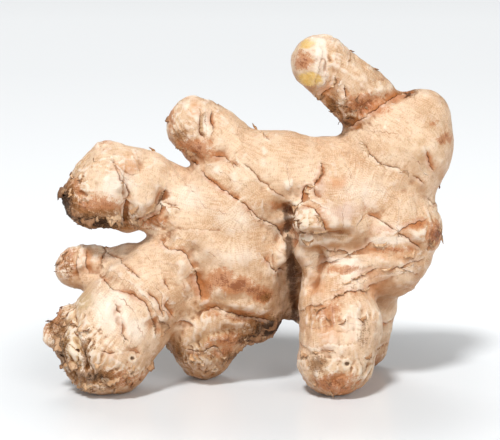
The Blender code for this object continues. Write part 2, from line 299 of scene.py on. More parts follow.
def read_vectors(collection, field):
    values = np.empty(len(collection) * 3, np.float32)
    collection.foreach_get(field, values)
    return values.reshape(-1, 3).astype(float)


def mesh_points(mesh):
    return read_vectors(mesh.vertices, "co") / MM


def mesh_normals(mesh):
    return read_vectors(mesh.vertex_normals, "vector")


def set_points(mesh, points):
    mesh.vertices.foreach_set("co", (points * MM).astype(np.float32).reshape(-1))
    mesh.update()


def store(mesh, name, values):
    """Keeps a number for each point of the mesh, which a material can read by its name."""
    mesh.attributes.new(name, "FLOAT", "POINT").data.foreach_set("value", values.astype(np.float32))


def keep_above_ground(mesh):
    points = mesh_points(mesh)
    points[:, 2] = points[:, 2].clip(LEAST_RISE)
    set_points(mesh, points)


def finished(obj, *modifiers):
    """A plain mesh of the object with modifiers (kind, settings) applied in turn."""
    for kind, settings in modifiers:
        modifier = obj.modifiers.new(kind.lower(), kind)
        for name, value in settings.items():
            setattr(modifier, name, value)
    graph = bpy.context.evaluated_depsgraph_get()
    mesh = bpy.data.meshes.new_from_object(obj.evaluated_get(graph))
    obj.modifiers.clear()
    return mesh


def new_object(name, mesh):
    obj = bpy.data.objects.new(name, mesh)
    bpy.context.scene.collection.objects.link(obj)
    return obj


def curve_points(joints, step):
    """Points on a smooth curve through the joints, about a step apart."""
    joints = np.array(joints, float)
    ends = np.vstack([2 * joints[0] - joints[1], joints, 2 * joints[-1] - joints[-2]])
    points = []
    for before, start, end, after in zip(ends, ends[1:], ends[2:], ends[3:]):
        for t in np.linspace(0, 1, max(2, int(np.linalg.norm(end - start) / step)), endpoint=False):
            points.append(
                start * (2 * t**3 - 3 * t**2 + 1)
                + (end - before) / 2 * (t**3 - 2 * t**2 + t)
                + end * (3 * t**2 - 2 * t**3)
                + (after - start) / 2 * (t**3 - t**2)
            )
    return np.array(points + [joints[-1]])


def nearest_of(samples, points):
    """For each point, the index of the nearest sample and the distance to it."""
    tree = kdtree.KDTree(len(samples))
    for k, sample in enumerate(samples):
        tree.insert(sample, k)
    tree.balance()
    found = [tree.find(point) for point in points]
    return np.array([f[1] for f in found]), np.array([f[2] for f in found])


def evened(values, edges, passes):
    """Values at the points of a mesh, averaged with their neighbours' this many times."""
    count = np.bincount(edges.reshape(-1), minlength=len(values)).clip(1)
    values = values.copy()
    flat = values.reshape(len(values), -1)
    for _ in range(passes):
        for column in range(flat.shape[1]):
            near = np.bincount(edges[:, 0], flat[edges[:, 1], column], len(flat))
            near += np.bincount(edges[:, 1], flat[edges[:, 0], column], len(flat))
            flat[:, column] = (flat[:, column] + near / count) / 2
    return values


def remade(obj, cell, passes):
    """The object's mesh made again of even cells, and smoothed this many times."""
    return finished(
        obj,
        ("REMESH", {"mode": "VOXEL", "voxel_size": cell * MM}),
        ("SMOOTH", {"factor": 0.5, "iterations": passes}),
    )


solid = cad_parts["ginger_root"].data.copy()
weld = bmesh.new()
weld.from_mesh(solid)
bmesh.ops.remove_doubles(weld, verts=weld.verts, dist=1e-6)
weld.to_mesh(solid)
weld.free()
skin = new_object("skin", solid)
skin.data = remade(skin, FIRST_CELL, SOFTENING)


def tree_of(obj):
    return BVHTree.FromObject(obj, bpy.context.evaluated_depsgraph_get())


def surface_point(x, z, side):
    """The point of the body met from the front, or from the back, at this x and z, and its normal."""
    start = -0.1 if side == "front" else 0.1
    to_body = Vector((0, -start, 0)).normalized()
    hit, normal, _, _ = body_tree.ray_cast(Vector((x * MM, start, z * MM)), to_body)
    if hit is None:
        hit, normal, _, _ = body_tree.find_nearest(Vector((x * MM, 0, z * MM)))
    return np.array(hit) / MM, np.array(normal)


def front_line(line, step):
    """Points about a step apart on the front of the body, along a line of x, z."""
    path = curve_points([(x, 0, z) for x, z in line], step)
    return np.array([surface_point(x, z, "front")[0] for x, _, z in path])


def creased(points, size, seed):
    """Round swellings of this size with sharp creases between them, from 0 to about 1."""
    finer = np.abs(gradient_noise(points, size / 2.3, seed + 1))
    return np.abs(gradient_noise(points, size, seed)) + 0.4 * finer


def warped(points, size, amount, seed):
    """The points, each moved a little this way and that, so that what is drawn from them is crooked."""
    return points + amount * np.stack([gradient_noise(points, size, seed + k) for k in range(3)], 1)


# First the swellings and creases, moved in or out from the solid.
body_tree = tree_of(skin)
points, normals = mesh_points(skin.data), mesh_normals(skin.data)
in_front = ramp(0.3, -0.2, normals[:, 1])
puffy = ramp(-0.5, 0.5, gradient_noise(points, 24.0, 95))
sculpted = 0.8 * layered_noise(points, 17.0, 82) - 0.3 + (0.5 + 0.9 * puffy) * creased(points, 11.0, 87)
for x, z, half_wide, half_high, height in SWELLINGS:
    off = ((points[:, 0] - x) / half_wide) ** 2 + ((points[:, 2] - z) / half_high) ** 2
    sculpted += height * in_front * np.exp(-0.9 * off)
crooked = warped(points, 5.0, 0.8, 20)
for line, depth, half_wide in CREASES:
    valley = front_line(line, CREASE_STEP)
    sample, far = nearest_of(valley, crooked)
    ends = np.minimum(sample, len(valley) - 1 - sample) * CREASE_STEP
    sculpted -= depth * np.clip(0.2 + ends / 4, 0, 1) * np.exp(-((far / half_wide) ** 2))
set_points(skin.data, points + normals * sculpted[:, None])
skin.data = remade(skin, SKIN_CELL, CREASE_SOFTENING)
smooth_body = mesh_points(skin.data)
outward = mesh_normals(skin.data)
edges = np.empty(len(skin.data.edges) * 2, np.int32)
skin.data.edges.foreach_get("vertices", edges)
edges = edges.reshape(-1, 2)
body_tree = tree_of(skin)

# The way the body grows, at each point: along the nearest limb, evened out where limbs meet.
centre_line, growth_way, grown, limb_of = [], [], [], []
for number, joints in enumerate(LIMBS.values()):
    points = curve_points(joints, 1.0)
    ways = np.gradient(points, axis=0)
    centre_line.append(points)
    growth_way.append(ways / np.linalg.norm(ways, axis=1)[:, None])
    grown.append(np.arange(len(points)) - len(points))
    limb_of.append(np.full(len(points), number))
centre_line, growth_way = np.vstack(centre_line), np.vstack(growth_way)
grown, limb_of = np.concatenate(grown), np.concatenate(limb_of)
nearest, _ = nearest_of(centre_line, smooth_body)
way = evened(growth_way[nearest], edges, 30)
way -= outward * (way * outward).sum(1)[:, None]
way /= np.linalg.norm(way, axis=1)[:, None] + 1e-9
rest = smooth_body - centre_line[nearest]
from_tip = -(grown[nearest] + (rest * growth_way[nearest]).sum(1))  # mm from the limb's tip
borders = np.zeros(len(smooth_body))
borders[edges[limb_of[nearest][edges[:, 0]] != limb_of[nearest][edges[:, 1]]].reshape(-1)] = 1
inside_limb = 1 - np.clip(evened(borders, edges, 16) * 8, 0, 1)  # 0 where one limb meets another


crooked = warped(smooth_body, 8.0, 1.6, 24)


def along_grain(size, seed, reach):
    """Noise drawn out along the way of growth, as the fibres of the skin are."""
    steps = np.linspace(-reach, reach, 9)
    return sum(gradient_noise(crooked + way * step, size, seed) for step in steps) / 4.5


# Samples along every seam: where, the way across it, and its depth and stain.
seam_at, seam_across, seam_depth, seam_stain = [], [], [], []
for number, (line, depth, stain) in enumerate(SEAMS):
    path = curve_points([(x, 0, z) for x, z in line], 0.5)
    hits = [surface_point(x, z, "front") for x, _, z in path]
    places = np.array([hit for hit, _ in hits])
    across = np.cross(np.array([normal for _, normal in hits]), np.gradient(places, axis=0))
    across /= np.linalg.norm(across, axis=1)[:, None] + 1e-9
    places += across * (0.55 * gradient_noise(places, 3.0, 40 + number))[:, None]
    ends = np.minimum(np.arange(len(places)), np.arange(len(places))[::-1]) * 0.5
    seam_at.append(places)
    seam_across.append(across)
    seam_depth.append(depth * np.clip(0.25 + ends / 2.5, 0, 1))
    seam_stain.append(np.full(len(places), stain))
for number, (middle, grows, radius, depth, stain, side) in enumerate(RINGS):
    grows = np.array(grows, float) / np.linalg.norm(grows)
    level = np.cross(grows, (0.0, 0.3, 1.0) if abs(grows[2]) < 0.9 else (1.0, 0.2, 0.0))
    level /= np.linalg.norm(level)
    turned = np.radians(np.arange(0, 360, 1.5))[:, None]
    spokes = np.cos(turned) * level + np.sin(turned) * np.cross(grows, level)
    shifts = 2.2 * gradient_noise(spokes * radius, 11.0, 90 + number)
    shifts += 0.6 * gradient_noise(spokes * radius, 3.0, 120 + number)
    shown = 0.1 + 0.9 * ramp(-0.3, 0.25, gradient_noise(spokes * radius, 13.0, 150 + number))
    for spoke, shift, share in zip(spokes, shifts, shown):
        start = Vector((np.array(middle) + grows * shift) * MM)
        hit, normal, _, far = body_tree.ray_cast(start, Vector(spoke), radius * 1.5 * MM)
        if hit is None or (side == "back" and normal.y < 0.1):
            continue
        seam_at.append(np.array(hit)[None] / MM)
        seam_across.append(grows[None])
        seam_depth.append([depth * share])
        seam_stain.append([stain])
seam_at, seam_across = np.vstack(seam_at), np.vstack(seam_across)
seam_depth, seam_stain = np.concatenate(seam_depth), np.concatenate(seam_stain)

# How far each point of the skin lies across the nearest seam, in mm, with ragged edges.
ragged = warped(warped(smooth_body, 2.2, 0.45, 50), 0.9, 0.25, 53)
seam, seam_far = nearest_of(seam_at, ragged)
side_of = np.sign(((ragged - seam_at[seam]) * seam_across[seam]).sum(1))
across_seam = side_of * seam_far
broken = ramp(-0.75, 0.1, gradient_noise(smooth_body, 6.0, 60))
depth_here = seam_depth[seam] * (0.25 + 0.75 * broken)

# Painted shade in the deep creases, darker the deeper the crease and the nearer its line.
crease_at, crease_deep, crease_wide = [], [], []
for line, depth, half_wide in CREASES:
    valley = front_line(line, CREASE_STEP)
    from_end = np.minimum(np.arange(len(valley)), np.arange(len(valley))[::-1])
    crease_at.append(valley)
    crease_deep.append(depth * np.minimum(1, 0.3 + 0.08 * from_end))
    crease_wide.append(np.full(len(valley), half_wide))
crease, crease_far = nearest_of(np.vstack(crease_at), ragged)
painted_crease_shade = ramp(2.5, 8, np.concatenate(crease_deep)[crease])
painted_crease_shade *= np.exp(-((1.4 * crease_far / np.concatenate(crease_wide)[crease]) ** 2))

# How strong each kind of blotch is at each point.
blotch = {kind: np.zeros(len(smooth_body)) for kind, _ in BLOTCHES}
front = ramp(3, -3, rest[:, 1])
sides = {"front": front, "back": 1 - front, "all": np.ones(len(smooth_body))}
for (kind, side), places in BLOTCHES.items():
    for x, z, half_wide, half_high, strength in places:
        place, _ = surface_point(x, z, "back" if side == "back" else "front")
        off = ((smooth_body[:, 0] - x) / half_wide) ** 2 + ((smooth_body[:, 2] - z) / half_high) ** 2
        off += ((smooth_body[:, 1] - place[1]) / (2.8 * max(half_wide, half_high))) ** 2
        blotch[kind] = np.maximum(blotch[kind], strength * sides[side] * np.exp(-0.9 * off))
patchy = layered_noise(smooth_body, 9.0, 70)
tip = ramp(7, 1, from_tip) * inside_limb
blotch["rust"] = np.maximum(blotch["rust"], 0.5 * tip * ramp(-0.2, 0.5, patchy) * sides["back"])
blotch["cream_and_painted_highlight"] = np.maximum(blotch["cream_and_painted_highlight"], 0.45 * ramp(0.2, 0.7, -patchy))
rough = ramp(0.25, 0.7, blotch["rust"]) * 0.5 + ramp(0.2, 0.6, blotch["bark_and_painted_shade"])

# Root scars: little craters with a pale rim, where roots broke away. x, z, radius in mm, and the side.
ROOT_SCARS = (
    (-41.5, 15.5, 1.2, "front"), (-42, 10.5, 1.3, "front"), (-70.5, 26.5, 1.4, "front"),
    (-51, 8, 1.0, "front"), (34, 14, 1.3, "front"), (-13, 6, 1.0, "front"),
    (44, 12, 1.4, "back"), (-50, 20, 1.4, "back"), (-18, 12, 1.2, "back"), (38, 60, 1.4, "back"),
    (0, 62, 1.2, "back"), (58, 78, 1.4, "back"), (-33, 40, 1.3, "back"),
)
scar = np.full(len(smooth_body), 4.0)
for x, z, radius, side in ROOT_SCARS:
    place, _ = surface_point(x, z, side)
    scar = np.minimum(scar, np.linalg.norm(ragged - place, axis=1) / radius)

# The relief, in mm outwards: swellings with creases between them, fibres, the overlapping lines of
# old scales, seams, and crinkled dry patches.
SCALE_SPACING = 4.6  # from one old scale's line to the next
LUMP_HEIGHT = 0.22
LIP_HEIGHT = 0.38  # of the lifted side of a seam
STEP_DEPTH = 0.28  # of its other side
CRACK_DEPTH = 0.25
VALLEY_DEPTH = 0.85  # of the wide dip along a seam
SKIN_DEPTH = 0.25  # down to the flesh
RIM_HEIGHT = 0.30  # around a root scar
SCAR_DEPTH = 0.6
fibres = along_grain(1.5, 80, 3.5)
folds = along_grain(3.0, 81, 3.0)
crinkle = blotch["crinkle"].clip(0, 1.3)
scale_step = from_tip + 2.4 * gradient_noise(smooth_body, 9.0, 91)
scale_step = (scale_step + 0.5 * gradient_noise(smooth_body, 2.0, 92)) / SCALE_SPACING
scale_step = (scale_step - np.floor(scale_step)) * ramp(-0.1, 0.5, gradient_noise(smooth_body, 8.0, 93))
scale_step *= inside_limb
edge = -across_seam
relief = LUMP_HEIGHT * gradient_noise(smooth_body, 4.0, 89) + 0.10 * gradient_noise(smooth_body, 1.8, 90)
tip_zone = ramp(34, 10, from_tip)
relief += (0.1 + 0.35 * tip_zone) * creased(crooked, 6.5, 103)
relief += 0.04 * fibres + 0.03 * np.abs(folds)
relief += (0.06 + 0.30 * ramp(16, 4, from_tip)) * scale_step
lip, step_down = LIP_HEIGHT * np.exp(-edge / 1.8), -STEP_DEPTH * np.exp(edge / 1.2)
relief += depth_here * np.where(edge > 0, lip, step_down)
crack, valley = np.exp(-((across_seam / 0.4) ** 2)), np.exp(-((across_seam / 3.0) ** 2))
relief -= depth_here * (CRACK_DEPTH * crack + VALLEY_DEPTH * valley)
wide_part = ramp(-0.2, 0.3, gradient_noise(smooth_body, 8.0, 101))
wrinkles = wide_part * along_grain(4.6, 97, 8.0) * 1.8 + (1 - wide_part) * along_grain(2.2, 98, 4.0)
relief += crinkle * (0.6 - 1.8 * np.abs(wrinkles) - 0.3 * np.abs(gradient_noise(ragged, 2.4, 98)))
flake = 1.7 * along_grain(5.0, 131, 7.0) + 0.5 * gradient_noise(ragged, 2.6, 132)
relief += crinkle * 0.55 * (flake - np.floor(flake))
barky = 0.30 * layered_noise(smooth_body, 2.0, 96) + 0.30 * np.abs(along_grain(1.6, 99, 2.5))
relief += rough * (barky - 0.1)
relief -= SKIN_DEPTH * ramp(0.45, 0.6, blotch["flesh"])
relief += RIM_HEIGHT * np.exp(-(((scar - 1) / 0.35) ** 2)) - SCAR_DEPTH * ramp(0.9, 0.3, scar)
skin_points = smooth_body + outward * relief[:, None]
skin_points[:, 2] -= skin_points[:, 2].min() + GROUND_CUT
skin_points[:, 2] = skin_points[:, 2].clip(LEAST_RISE)
set_points(skin.data, skin_points)
hollow = ((evened(skin_points, edges, 14) - skin_points) * outward).sum(1)
hollow_wide = ((evened(skin_points, edges, 90) - skin_points) * outward).sum(1)
fields = {
    "seam": across_seam.clip(-6, 6), "seam_depth": depth_here, "seam_stain": seam_stain[seam],
    "hollow": hollow, "hollow_wide": hollow_wide, "scar": scar.clip(0, 4), "under": -outward[:, 2],
    "painted_crease_shade": painted_crease_shade, **blotch,
}
for name, values in fields.items():
    store(skin.data, name, values)
kept_way = skin.data.attributes.new("way", "FLOAT_VECTOR", "POINT")
kept_way.data.foreach_set("vector", way.astype(np.float32).reshape(-1))
triangles = 2 * len(skin.data.polygons)
skin.data = finished(skin, ("DECIMATE", {"ratio": SKIN_TRIANGLES / triangles}), ("TRIANGULATE", {}))
keep_above_ground(skin.data)
skin.data.shade_smooth()


class Value:
    """A number that changes over a surface. An expression on values adds the Math nodes for it."""

    def __init__(self, paint, socket):
        self.paint, self.socket = paint, socket

    def math(self, operation, first, second):
        node = self.paint.node("ShaderNodeMath", {"operation": operation}, {0: first, 1: second})
        return Value(self.paint, node.outputs[0])

    def __add__(self, other):
        return self.math("ADD", self, other)

    def __sub__(self, other):
        return self.math("SUBTRACT", self, other)

    def __rsub__(self, other):
        return self.math("SUBTRACT", other, self)

    def __mul__(self, other):
        return self.math("MULTIPLY", self, other)

    def __abs__(self):
        return self.math("ABSOLUTE", self, 0.0)

    __radd__, __rmul__ = __add__, __mul__


class Nodes:
    """The nodes of one tree."""

    def __init__(self, tree):
        self.tree = tree

    def node(self, kind, settings, sockets):
        node = self.tree.nodes.new(kind)
        for name, value in settings.items():
            setattr(node, name, value)
        self.fill(node, sockets)
        return node

    def fill(self, node, sockets):
        """Links each socket of the node to what is given, or sets it where that is a plain value."""
        for key, value in sockets.items():
            value = getattr(value, "socket", value)
            if isinstance(value, bpy.types.NodeSocket):
                self.tree.links.new(value, node.inputs[key])
            else:
                node.inputs[key].default_value = value


class Paint(Nodes):
    """A material's nodes, around one Principled BSDF."""

    def __init__(self, name):
        self.material = bpy.data.materials.new(name)
        self.material.use_nodes = True
        super().__init__(self.material.node_tree)
        self.surface = self.tree.nodes["Principled BSDF"]
        place = self.node("ShaderNodeTexCoord", {}, {}).outputs["Object"]
        scaled = self.node("ShaderNodeVectorMath", {"operation": "SCALE"}, {0: place, "Scale": 1 / MM})
        self.place = scaled.outputs[0]  # in mm

    def attribute(self, name):
        return Value(self, self.node("ShaderNodeAttribute", {"attribute_name": name}, {}).outputs["Fac"])

    def noise(self, size, detail=2.0, place=None):
        """Noise from 0 to 1 with lumps about this many mm across."""
        sockets = {"Vector": place or self.place, "Scale": 1 / size, "Detail": detail}
        return Value(self, self.node("ShaderNodeTexNoise", {}, sockets).outputs["Fac"])

    def ramp(self, low, high, value):
        """0 below low, 1 above high, smooth between. With low above high it falls instead."""
        settings = {"interpolation_type": "SMOOTHSTEP"}
        node = self.node("ShaderNodeMapRange", settings, {"Value": value, 1: low, 2: high})
        return Value(self, node.outputs["Result"])

    def mix(self, share, first, second):
        """The first colour with a share of the second in it."""
        return self.node("ShaderNodeMix", {"data_type": "RGBA"}, {0: share, 6: first, 7: second}).outputs[2]

    def bump(self, height, distance):
        """The normal for a height, where a height of 1 stands out this many mm."""
        sockets = {"Height": height, "Distance": distance * MM, "Strength": 1.0}
        return self.node("ShaderNodeBump", {}, sockets).outputs["Normal"]

    def tint(self, tone, *layers):
        """The tone with layers on it: what decides where, from and to which value, share, colour."""
        for value, low, high, share, shade in layers:
            tone = self.mix(self.ramp(low, high, value) * share, tone, colour(*shade))
        return tone


def colour(red, green, blue):
    """A colour for a shader, from red, green and blue as a screen shows them, 0 to 255."""
    linear = [((c / 255 + 0.055) / 1.055) ** 2.4 if c > 10 else c / 255 / 12.92 for c in (red, green, blue)]
    return (*linear, 1.0)


def skin_paint():
    """Thin tan skin, creamy where it is stretched and brown where it is rubbed, split or dried, with painted
    highlight on what stands out and painted shade in hollows, deep creases and underneath.
    """
    paint = Paint("ginger_skin")
    wide, middling, fine = paint.noise(24.0, 3), paint.noise(6.0, 4), paint.noise(1.3, 4)
    hollow, hollow_wide = paint.attribute("hollow"), paint.attribute("hollow_wide")
    grain = paint.node("ShaderNodeAttribute", {"attribute_name": "way"}, {}).outputs["Vector"]
    threads = []
    for step in (-0.8, 0.0, 0.8):
        along = {0: grain, 1: (step,) * 3, 2: paint.place}
        moved = paint.node("ShaderNodeVectorMath", {"operation": "MULTIPLY_ADD"}, along)
        threads.append(paint.noise(0.55, 2, moved.outputs[0]))
    thread = sum(threads[1:], threads[0]) * (1 / 3)

    crinkle = paint.attribute("crinkle")
    tone = paint.mix(paint.ramp(0.38, 0.62, wide), colour(208, 165, 127), colour(233, 200, 168))
    tone = paint.tint(
        tone,
        (middling, 0.46, 0.72, 0.5, (196, 148, 104)), (middling, 0.52, 0.34, 0.45, (243, 219, 192)),
        (thread, 0.45, 0.60, 0.55, (242, 214, 180)), (thread, 0.5, 0.36, 0.32, (178, 126, 80)),
        (fine, 0.54, 0.68, 0.3, (172, 120, 76)),
    )
    # Tints for the blotch kinds; the cream one is pale skin and partly painted highlight.
    for kind, share, shade in (
        ("cream_and_painted_highlight", 0.75, (252, 238, 220)), ("lilac", 0.5, (222, 194, 182)), ("olive", 0.6, (190, 162, 116)),
        ("orange", 0.7, (214, 146, 96)), ("crinkle", 0.35, (214, 178, 136)),
    ):
        there = paint.attribute(kind) + (middling - 0.5) * 1.1 + (thread - 0.5) * 0.8
        tone = paint.tint(tone, (there, 0.15, 0.85, share, shade))

    # Painted shade: hollows, and most of all the valleys of crinkled skin, are browner and darker, as shade
    # falls there; painted highlight: what stands out is paler.
    tone = paint.tint(
        tone,
        (hollow, 0.0, 0.2, 0.6, (152, 92, 44)), (hollow_wide, 0.15, 1.2, 0.65, (152, 88, 38)),
        (hollow_wide, 1.2, 3.2, 0.8, (66, 34, 12)), (hollow_wide, -0.25, -1.1, 0.5, (246, 226, 202)),
    )
    tone = paint.mix(paint.ramp(0.06, 0.34, hollow) * crinkle * 0.85, tone, colour(74, 40, 16))
    # Painted highlight on the smallest ridges, and painted shade on the undersides, darker the more the skin
    # faces down.
    painted_underside_shade = paint.attribute("under") + (middling - 0.5) * 0.9 + (thread - 0.5)
    tone = paint.tint(
        tone, (hollow, -0.03, -0.18, 0.45, (253, 240, 224)), (painted_underside_shade, -0.1, 0.8, 0.65, (156, 98, 44))
    )

    # Where the skin is gone the flesh shows; rubbed and barky skin, partly painted shade, and the painted
    # shade of the deep creases have ragged edges.
    flesh = paint.attribute("flesh") + (middling - 0.5) * 0.6 + (thread - 0.5) * 1.2
    flesh = paint.ramp(0.3, 0.75, flesh) * 0.85
    flesh_tone = paint.mix(paint.ramp(0.35, 0.7, fine), colour(228, 184, 94), colour(240, 206, 138))
    tone = paint.mix(flesh, tone, flesh_tone)
    broken = (middling - 0.5) * 1.5 + (fine - 0.5) * 1.1 + (thread - 0.5) * 2.4
    ragged_edged = {}
    for kind, raggedness in (("rust", 1.0), ("bark_and_painted_shade", 0.7), ("painted_crease_shade", 0.6)):
        there = paint.attribute(kind)
        ragged_edged[kind] = there + broken * paint.ramp(0.0, 0.4, there) * raggedness
    rust, bark_and_painted_shade, painted_crease_shade = ragged_edged.values()
    tone = paint.tint(
        tone,
        (rust, 0.2, 0.6, 0.75, (188, 120, 74)), (rust, 0.7, 1.15, 0.75, (132, 70, 36)),
        # bark: dark crusty skin, partly painted shade
        (bark_and_painted_shade, 0.15, 0.5, 0.75, (136, 88, 42)), (bark_and_painted_shade, 0.5, 1.05, 0.9, (46, 26, 10)),
        # painted shade in the deep creases
        (painted_crease_shade, 0.1, 0.9, 0.8, (72, 38, 14)),
    )

    # Seams: a pale lifted lip, a brown stain around, and the dark crack itself.
    seam, depth, stain = (paint.attribute(name) for name in ("seam", "seam_depth", "seam_stain"))
    seam = seam + (fine - 0.5) * 0.7
    near = abs(seam)
    lip = paint.ramp(-1.9, -0.4, seam) * paint.ramp(-0.1, -0.3, seam)
    tone = paint.mix(lip * depth * 0.6, tone, colour(252, 236, 216))
    reach = paint.ramp(1.0, 0.0, near * stain.math("DIVIDE", 0.6, stain))
    stained = reach * paint.ramp(0.1, 0.9, depth) * paint.ramp(0.3, 0.6, middling)
    tone = paint.mix(stained * 0.85, tone, colour(190, 114, 60))
    crack = paint.ramp(0.30, 0.06, near) * paint.ramp(0.12, 0.7, depth)
    tone = paint.mix(crack * 0.85, tone, colour(86, 44, 14))
    scar = paint.attribute("scar")
    tone = paint.tint(tone, (scar, 1.5, 1.1, 0.5, (232, 206, 176)), (scar, 0.8, 0.4, 0.8, (84, 52, 30)))

    rough = 0.40 + (middling - 0.5) * 0.2 + paint.ramp(0.3, 0.8, bark_and_painted_shade) * 0.2 - flesh * 0.12
    height = thread * 0.9 + fine * 0.45 + paint.noise(0.45, 2) * 0.15 - crack * 0.5
    paint.fill(paint.surface, {
        "Base Color": tone, "Roughness": rough, "Normal": paint.bump(height, 0.5),
        "Specular IOR Level": 0.2, "Coat Weight": 0.03, "Coat Roughness": 0.3,
        "Subsurface Weight": 0.06, "Subsurface Radius": (1.0, 0.45, 0.2), "Subsurface Scale": 1.5 * MM,
    })
    return paint.material


skin.data.materials.clear()
skin.data.materials.append(skin_paint())
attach(skin, "root")
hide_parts("ginger_root")

# ---------------------------------------------------------------------------------------------
# The papery scales. Dry remains of the leaf scales that sheathed the joints: stiff brown paper, still
# grown to the skin along one line, with a torn edge that lifts away.

# Scales that stand out: where (x, y, z in mm), the way the torn edge points, length, width and lift
# in mm, and how dark it is from 0 to 1.
TORN_SCALES = (
    ((-64, -10, 73), (-0.7, 0, -0.7), 4.5, 7, 1.8, 0.9), ((-61, -16, 68), (-0.5, 0, -0.9), 5.5, 8, 1.6, 0.8),
    ((-57, -16, 65), (-0.1, 0, -1), 5.5, 6, 1.6, 0.7), ((-48, -17, 66), (0.15, 0, -1), 6.5, 7, 2.0, 0.15),
    ((-44, -15, 63), (0.4, 0, -1), 4.5, 6, 1.4, 0.4), ((-40, -13, 62), (0.5, 0, -1), 3.5, 6, 1.2, 0.5),
    ((-35, -2, 84), (-0.6, 0, 0.8), 3.0, 4, 1.2, 0.3), ((-15.5, -9, 97), (-1, 0, 0), 3.5, 10, 1.0, 0.05),
    ((-29, -2, 98), (-1, 0, -0.2), 2.5, 3.5, 1.0, 0.8), ((-21, -7, 86), (-0.3, 0, -1), 3.5, 6, 1.0, 0.6),
    ((-25, -5, 89), (-0.6, 0, -0.8), 3.0, 5, 1.0, 0.7), ((3, 0, 95), (-0.5, 0, 0.8), 3.0, 2.2, 2.0, 0.3),
    ((-32.5, -20, 25), (1, 0, 0.1), 4.0, 9, 1.4, 0.55), ((-36.5, -20, 12), (0.8, 0, -0.6), 3.5, 5, 1.6, 0.5),
    ((-57, -25, 7), (-0.4, 0, -1), 4.0, 7, 1.2, 0.2), ((-67, -23, 20), (-0.8, 0, -0.6), 4.0, 7, 1.2, 0.5),
    ((-62, -27, 14), (-0.4, 0, -0.9), 5.0, 7, 1.3, 0.45), ((-49, -28, 9), (0.2, 0, -1), 4.0, 7, 1.2, 0.35),
    ((-71, -14, 27), (-0.9, 0, 0.2), 3.0, 5, 1.2, 0.8), ((-43, -26, 13), (0.5, 0, -0.9), 3.5, 5, 1.0, 0.3),
    ((34, -3, 122), (0.6, 0, -0.7), 2.5, 6, 0.5, 0.6), ((43, -2, 115), (0.7, 0, -0.6), 2.5, 7, 0.5, 0.6),
    ((55, -1, 107), (0.9, 0, 0.2), 3.5, 6, 0.9, 0.95), ((70, 1, 74), (0.6, 0, -0.8), 3.0, 7, 0.8, 0.9),
    ((68, -3, 55), (0.8, 0, -0.5), 3.5, 4, 1.5, 0.35), ((66, -8, 59), (0.7, 0, -0.6), 3.5, 4, 1.3, 0.6),
    ((64, -10, 56), (0.4, 0, -0.9), 3.0, 4, 1.0, 0.4), ((25, -23, 60), (0.2, 0, -1), 5.5, 6, 1.6, 0.1),
    ((20, -22, 58), (0, 0, -1), 4.0, 6, 1.0, 0.4), ((25, -9, 108), (0.1, 0, -1), 3.0, 6, 1.0, 0.6),
    ((-26, -1, 15), (-0.9, 0, -0.4), 3.5, 6, 1.2, 0.4), ((-5, -6, 16), (0.6, 0, -0.9), 4.0, 7, 1.4, 0.5),
    ((2, -9, 20), (0.4, 0, -1), 4.5, 8, 1.4, 0.8), ((8, -9, 24), (0.7, 0, -0.8), 4.0, 7, 1.2, 0.85),
    ((-42, -17, 68), (0.5, 0, -0.9), 3.5, 7, 0.9, 0.4), ((-35, -15, 67), (0.7, 0, -0.6), 3.5, 7, 1.0, 0.35),
    ((14, -18, 68), (0.3, 0, -0.9), 4.0, 5, 1.0, 0.3), ((21, -17, 75), (-0.8, 0, -0.3), 3.0, 5, 1.0, 0.2),
    ((-68, -3, 46), (-1, 0, -0.3), 3.0, 6, 1.0, 0.6), ((-66, 4, 42), (-0.8, 0, -0.6), 3.0, 6, 1.0, 0.6),
    ((-58, 14, 66), (-0.5, 0, -0.8), 4.0, 8, 1.4, 0.7), ((-22, 10, 90), (-0.8, 0, 0.4), 3.5, 7, 1.0, 0.6),
    ((25, -22, 33), (0.2, 0, -1), 3.5, 6, 0.9, 0.4), ((37, -22, 30), (0.3, 0, -1), 3.0, 5, 0.8, 0.5),
    ((56, -14, 52), (0.4, 0, -1), 3.5, 6, 1.0, 0.4), ((40, -24, 17), (0.4, 0, -1), 3.0, 5, 1.0, 0.6),
    ((22, -22, 17), (-0.4, 0, -1), 3.0, 5, 1.0, 0.5), ((46, -16, 56), (0.1, 0, -1), 3.0, 6, 0.7, 0.3),
    ((20, 8, 112), (-0.9, 0, 0.3), 3.5, 7, 1.0, 0.5), ((-60, 0, 15), (-0.6, 0.3, -0.9), 4.5, 8, 1.3, 0.5),
)
EDGE_SCALES = 150  # small ones, along the seams
LOOSE_FLAKES = 170  # smaller still, all over the crinkled skin
PAPER_THICK = 0.16  # mm
skin_tree = tree_of(skin)


def on_skin(point):
    """The point of the skin nearest to this one, and the normal there, in mm."""
    hit, normal, _, _ = skin_tree.find_nearest(Vector(point) * MM)
    return np.array(hit) / MM, np.array(normal)


